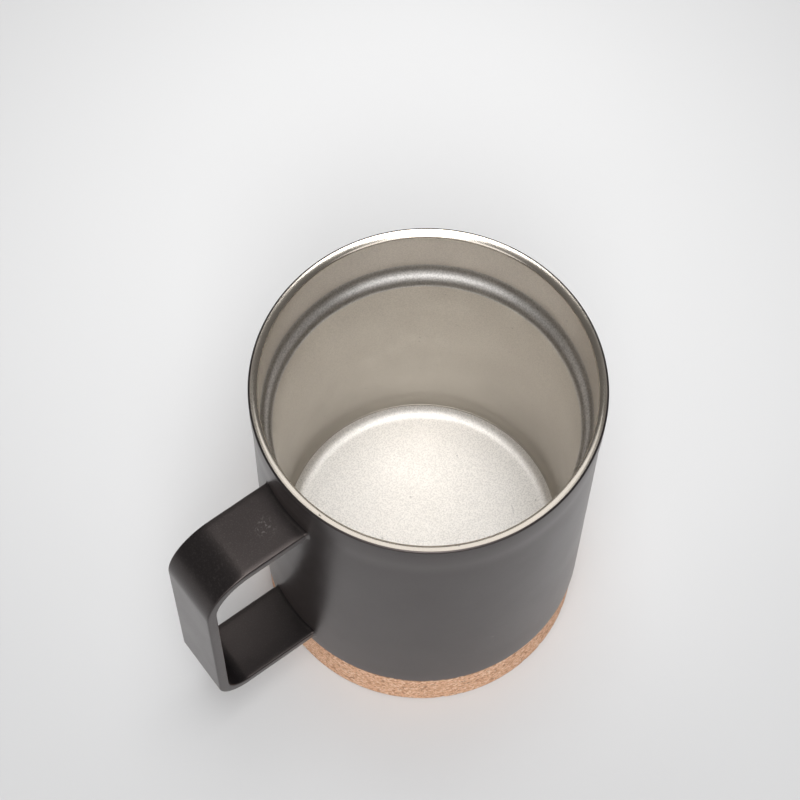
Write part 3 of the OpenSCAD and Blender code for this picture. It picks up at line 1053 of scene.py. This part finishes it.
# %% Build the cork base
recess_r = pan_r + 0.15 * mm
recess_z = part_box("adhesive_disc")[0].z
cork_outline = (
    line((0, 0), (cork_r - cork_edge_r, 0), 44)
    + arc(cork_r - cork_edge_r, cork_edge_r, cork_edge_r, -90, 0, 7)[1:]
    + line((cork_r, cork_edge_r), (cork_r, cork_top_z - cork_lip_r), 44)[1:]
    + arc(cork_r - cork_lip_r, cork_top_z - cork_lip_r, cork_lip_r, 0, 90, 4)[1:]
    + line((cork_r - cork_lip_r, cork_top_z), (recess_r, cork_top_z), 8)[1:]
    + [(recess_r, recess_z), (0, recess_z)]
)
cork_base = turned("cork_block", [(cork_outline, 0)], cork, steps=720, shape=chew)
mark(cork_base, "pit", pit_at)
finish_piece(cork_base, "cork", "cork_base", sharp=50)

# %% [markdown]
# ## Finishes of the hidden pieces
#
# These pieces keep the shapes they were loaded with, so only their materials are swapped.

# %% Give the hidden pieces their finishes
hidden_finishes = {
    "outer_bottom": mill_steel,
    "base_weld": mill_steel,
    "getter_clip": mill_steel,
    "seal_bead": solder_glass,
    "getter_pellet": getter_alloy,
    "adhesive_disc": adhesive,
}
for node_name, material in hidden_finishes.items():
    for material_slot in frame["nodes"][node_name].material_slots:
        material_slot.material = material
    print(node_name, "is now", material.name)

# %% [markdown]
# ## Floor, lights and surroundings
#
# The mug stands on a pale floor in a soft studio. Black coating and bare steel show their
# surroundings more than their own colour, so the lights are placed for what each surface mirrors: a narrow
# strip overhead, running from front to back, whitens the cup's floor and the back of the lip. Two panels,
# behind and in front, fill the shell and the wall, and the sides stay dark so that the steel keeps its
# shape. A pool of light is painted into the floor's grey: palest near the mug, and darker away from it.

# %% Pale floor
brightest_spot = (-0.069, -0.102, 0)
floor_paint, tree, shader, where = start_material("pale_floor")
paper = use(tree, grain, Vector=where, Grain_size=0.6 * mm, Cloud_size=60 * mm)
from_mug = place(tree, "VectorMath", {0: where, 1: brightest_spot}, operation="DISTANCE").outputs["Value"]
painted_light_reach = 0.24
lit_floor_tone = (0.89, 0.893, 0.90)
shaded_floor_tone = (0.57, 0.573, 0.58)
# painted pool of light: the floor's grey is palest round a spot behind the mug and darker away from it
painted_light_falloff = ramp(tree, from_mug, 0.0, painted_light_reach)
tree.links.new(blend(tree, painted_light_falloff, lit_floor_tone, shaded_floor_tone), shader.inputs["Base Color"])
tree.links.new(raise_surface(tree, paper["Height"], 0.01 * mm), shader.inputs["Normal"])
shader.inputs["Roughness"].default_value = 0.85
shader.inputs["Specular IOR Level"].default_value = 0.1

floor_maker = bmesh.new()
bmesh.ops.create_circle(floor_maker, cap_ends=True, radius=4.0, segments=96)
floor_mesh = bpy.data.meshes.new("pale_floor")
floor_maker.to_mesh(floor_mesh)
floor_maker.free()
floor_mesh.materials.append(floor_paint)
floor = bpy.data.objects.new("pale_floor", floor_mesh)
bpy.context.scene.collection.objects.link(floor)
floor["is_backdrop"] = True


# %% Lights
mug_middle = Vector((0, 0, 0.05))


def soft_panel(name, side, reach, height, width, depth, radiance):
    """A studio panel that faces the mug. side is its bearing from the camera's right, in degrees."""
    bearing = camera_heading - math.pi / 2 + math.radians(side)
    panel_data = bpy.data.lights.new(name, "AREA")
    panel_data.shape = "RECTANGLE"
    panel_data.size = width
    panel_data.size_y = depth
    panel_data.energy = radiance * math.pi * width * depth
    panel = bpy.data.objects.new(name, panel_data)
    bpy.context.scene.collection.objects.link(panel)
    panel.location = (reach * math.cos(bearing), reach * math.sin(bearing), height)
    facing = mug_middle - panel.location
    panel.rotation_mode = "QUATERNION"
    panel.rotation_quaternion = facing.to_track_quat("-Z", "Y")
    panel.visible_camera = False
    print(name, "gives", round(panel_data.energy, 1), "W")
    return panel


overhead = soft_panel("overhead_softbox", -86, reach=0.50, height=1.15, width=1.50, depth=0.42, radiance=7.3)
overhead.rotation_quaternion = Matrix.Rotation(camera_heading, 4, "Z").to_quaternion()
soft_panel("back_panel", 90, reach=1.2, height=0.90, width=1.8, depth=1.0, radiance=1.1)
soft_panel("front_panel", -90, reach=1.2, height=0.75, width=2.2, depth=1.3, radiance=1.25)

world = bpy.data.worlds.new("studio")
bpy.context.scene.world = world
world.use_nodes = True
world.node_tree.nodes["Background"].inputs["Color"].default_value = (1.0, 0.965, 0.92, 1)
world.node_tree.nodes["Background"].inputs["Strength"].default_value = 0.14
bpy.context.scene.view_settings.view_transform = "Standard"

# %% [markdown]
# ## The size at the end
#
# Looks must never change sizes. The box of the engineering model and the box of the finished mug are
# printed side by side.

# %% Compare the boxes and finish
visual_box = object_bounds()
for label, (low, high) in (("engineering box", cad_box), ("finished box", visual_box)):
    print(label, [round((b - a) / mm, 2) for a, b in zip(low, high)], "mm")
